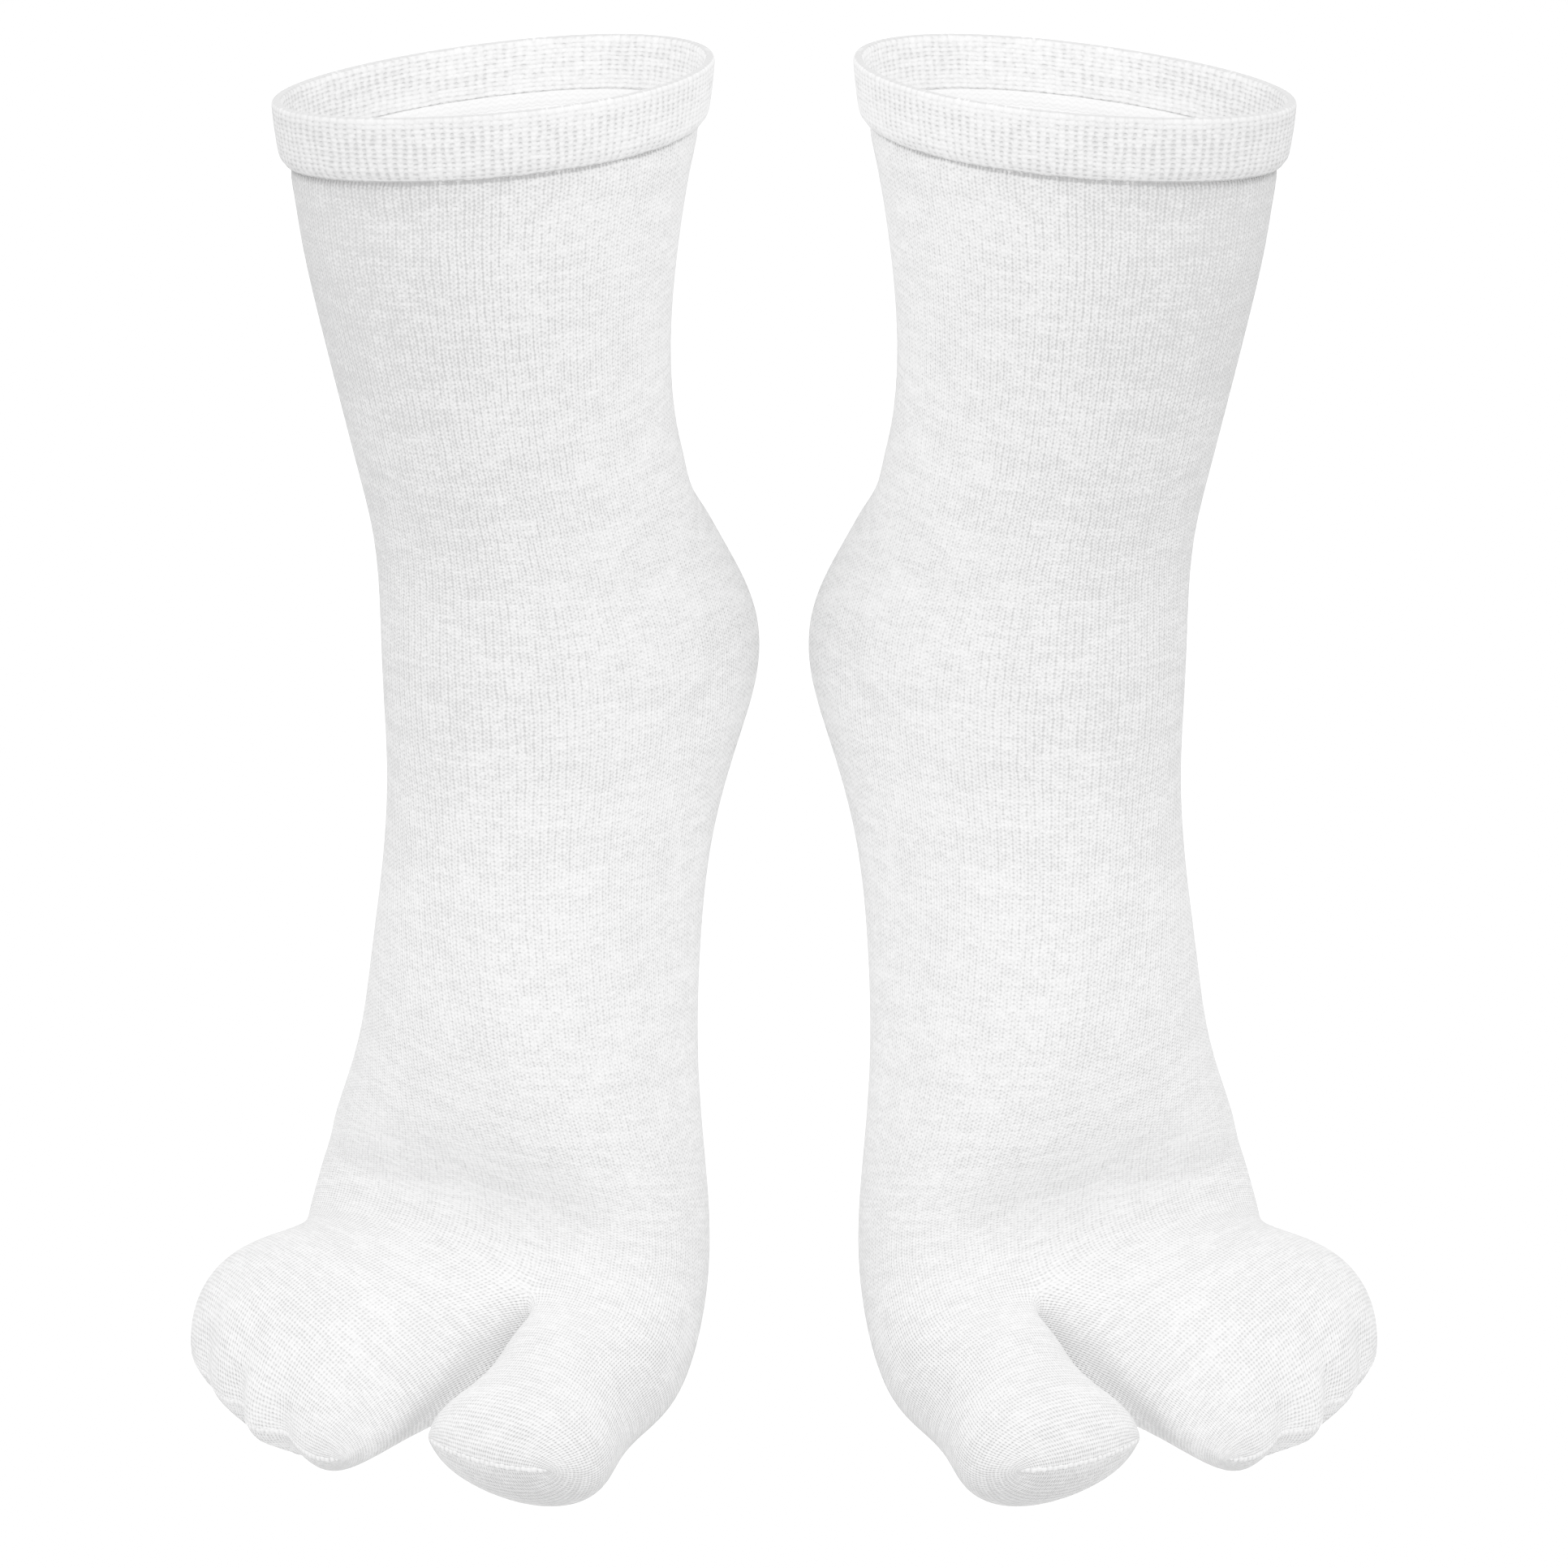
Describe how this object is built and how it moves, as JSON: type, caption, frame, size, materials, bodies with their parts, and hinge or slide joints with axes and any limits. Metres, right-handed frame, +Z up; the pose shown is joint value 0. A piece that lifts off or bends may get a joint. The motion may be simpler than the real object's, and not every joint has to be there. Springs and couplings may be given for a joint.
{
  "type": "pair of tabi socks",
  "caption": "Pair of knitted split-toe crew socks, filled out on tiptoe with the big toe set apart from the other toes, turned welts and open tops.",
  "frame": {"origin": "midway between the centres of the two sock openings, at the height of their rims, where the wearer's legs hold the pair up", "axes": "+Z up along the legs, out of the openings; -Y towards the toes, which turn outwards; +X towards the wearer's left sock"},
  "size_m": [0.2968, 0.145, 0.3411],
  "materials": {
    "knit": "fine plain cotton knit, white with faint pale grey slubs, matt",
    "welt_knit": "turned double layer of mock-rib cotton knit, white, matt"
  },
  "bodies": {
    "root": {"right_sock": "knit", "left_sock": "knit", "right_welt": "welt_knit", "left_welt": "welt_knit"}
  },
  "joints": []
}
